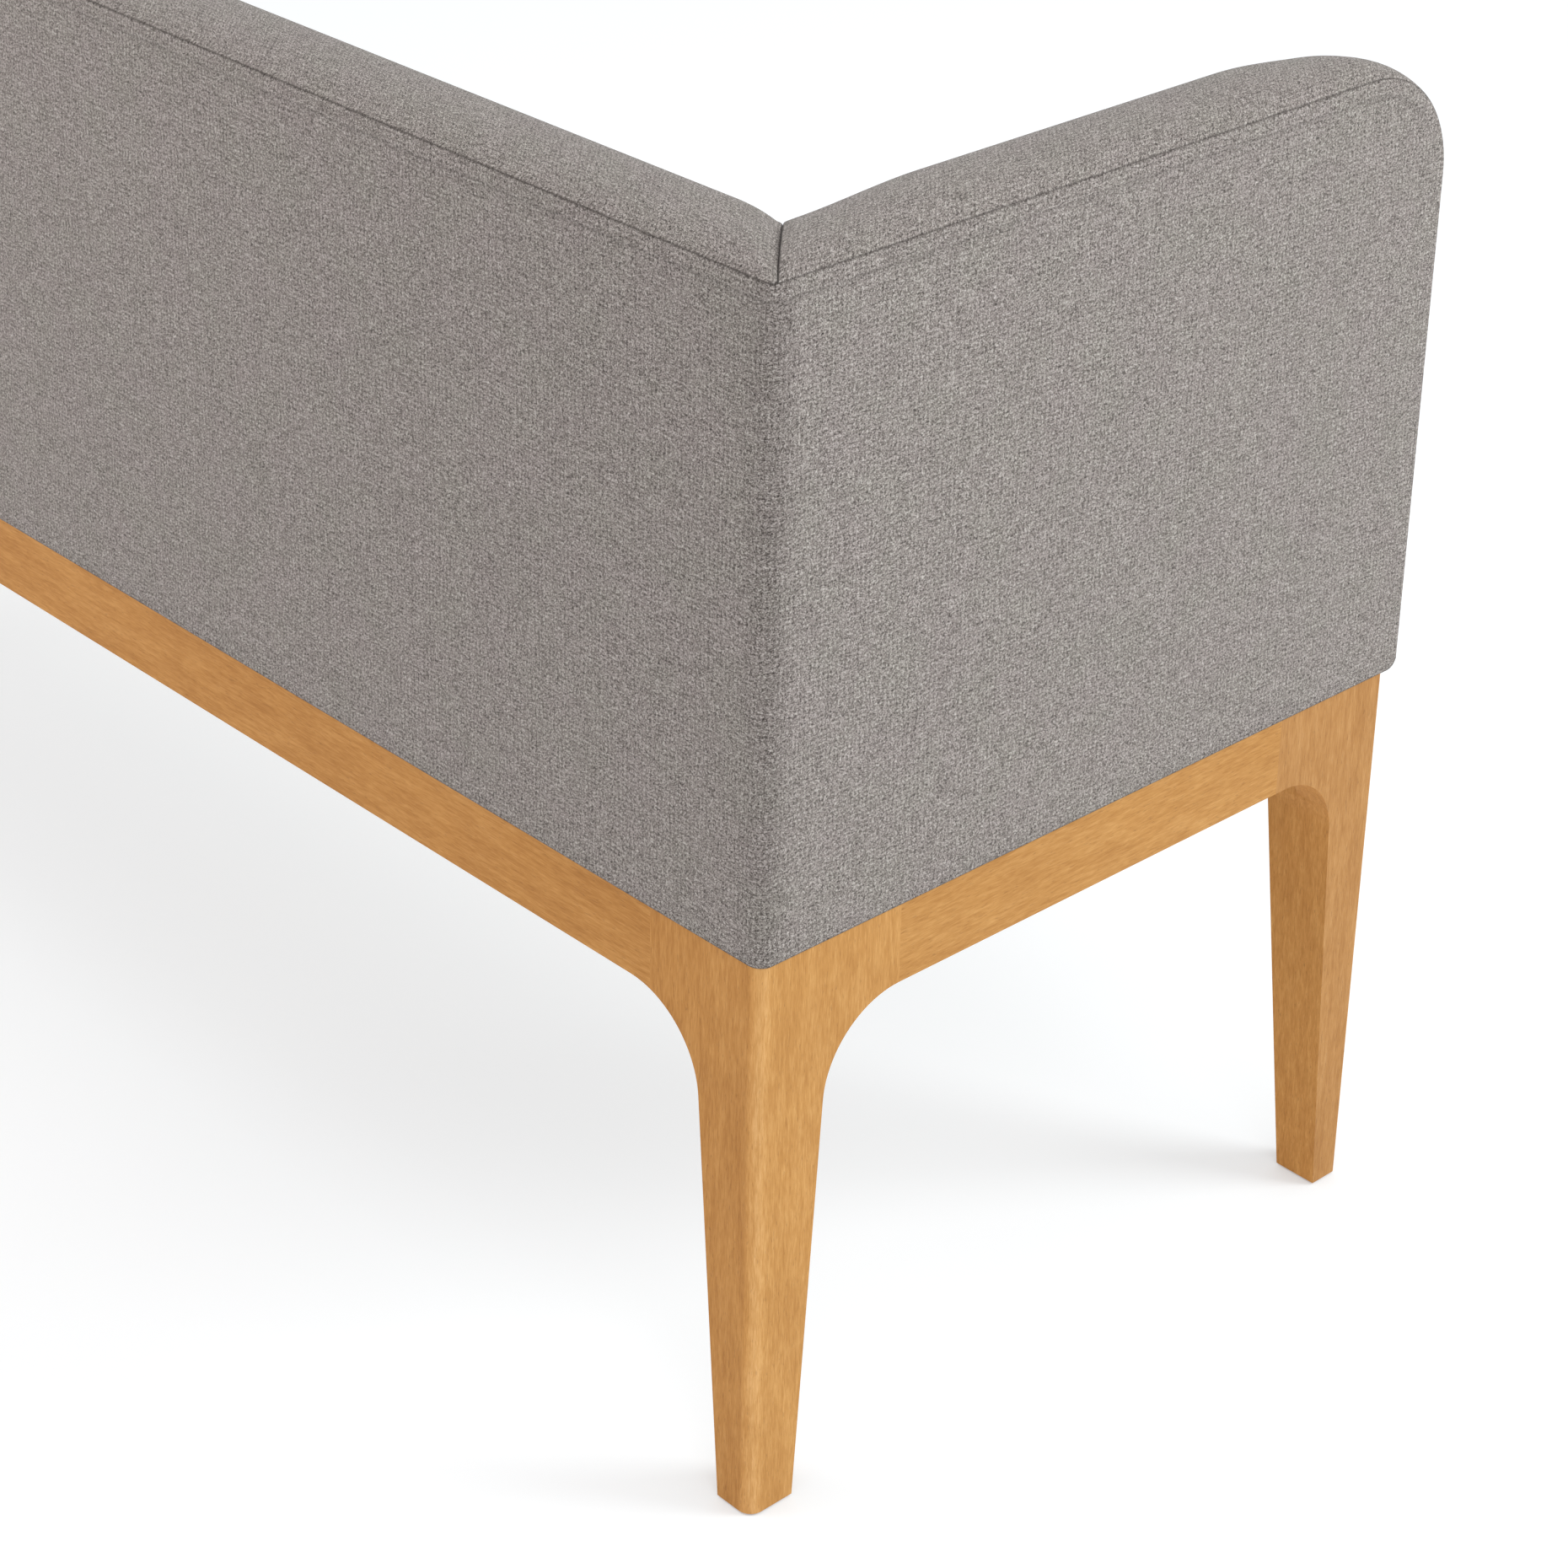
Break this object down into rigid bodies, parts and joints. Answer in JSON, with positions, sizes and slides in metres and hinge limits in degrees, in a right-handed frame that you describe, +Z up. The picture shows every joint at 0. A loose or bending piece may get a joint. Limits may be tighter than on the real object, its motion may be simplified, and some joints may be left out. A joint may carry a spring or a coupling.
{
  "type": "upholstered banquette bench",
  "caption": "Upholstered banquette bench: low back and level arms in grey cloth round a tight seat, on an open hardwood base with tapered legs.",
  "frame": {"origin": "on the floor, at the middle of the bench's length and of its depth", "axes": "+X along the bench to its right end seen from the front, +Y towards the back, +Z up"},
  "size_m": [1.5, 0.59, 0.841],
  "materials": {
    "show_wood": "satin",
    "frame_wood": "matte",
    "plywood": "matte",
    "cover_fabric": "matte",
    "foam": "matte",
    "felt": "matte",
    "webbing": "matte",
    "dust_cloth": "matte",
    "steel": "satin",
    "nylon": "satin"
  },
  "bodies": {
    "root": {"arm_border_left": "cover_fabric", "arm_border_pad_left": "foam", "arm_border_pad_right": "foam", "arm_border_right": "cover_fabric", "arm_bottom_rail_left": "frame_wood", "arm_bottom_rail_right": "frame_wood", "arm_foam_left": "foam", "arm_foam_right": "foam", "arm_front_post_left": "frame_wood", "arm_front_post_right": "frame_wood", "arm_inner_panel_left": "plywood", "arm_inner_panel_right": "plywood", "arm_outer_panel_left": "plywood", "arm_outer_panel_right": "plywood", "arm_rear_post_left": "frame_wood", "arm_rear_post_right": "frame_wood", "arm_top_rail_left": "frame_wood", "arm_top_rail_right": "frame_wood", "back_border": "cover_fabric", "back_border_pad": "foam", "back_bottom_rail": "frame_wood", "back_foam": "foam", "back_outer_panel": "plywood", "back_posts": "frame_wood", "back_rail": "show_wood", "back_top_rail": "frame_wood", "back_webbing": "webbing", "body_bolts": "steel", "bolt_washers": "steel", "centre_stretcher": "frame_wood", "corner_block_screws": "steel", "corner_blocks": "frame_wood", "dust_cover": "dust_cloth", "foot_glides": "nylon", "frame_screws": "steel", "front_rail": "show_wood", "inner_arm_cover_left": "cover_fabric", "inner_arm_cover_right": "cover_fabric", "inner_back_cover": "cover_fabric", "leg_front_left": "show_wood", "leg_front_right": "show_wood", "leg_rear_left": "show_wood", "leg_rear_right": "show_wood", "outer_cover": "cover_fabric", "rail_dowels": "frame_wood", "seat_cover": "cover_fabric", "seat_end_rail_left": "frame_wood", "seat_end_rail_right": "frame_wood", "seat_foam": "foam", "seat_front_border": "cover_fabric", "seat_front_rail": "frame_wood", "seat_rear_rail": "frame_wood", "seat_springs": "steel", "side_rail_left": "show_wood", "side_rail_right": "show_wood", "spring_clips": "steel", "spring_insulator": "felt", "threaded_inserts": "steel"}
  },
  "joints": []
}
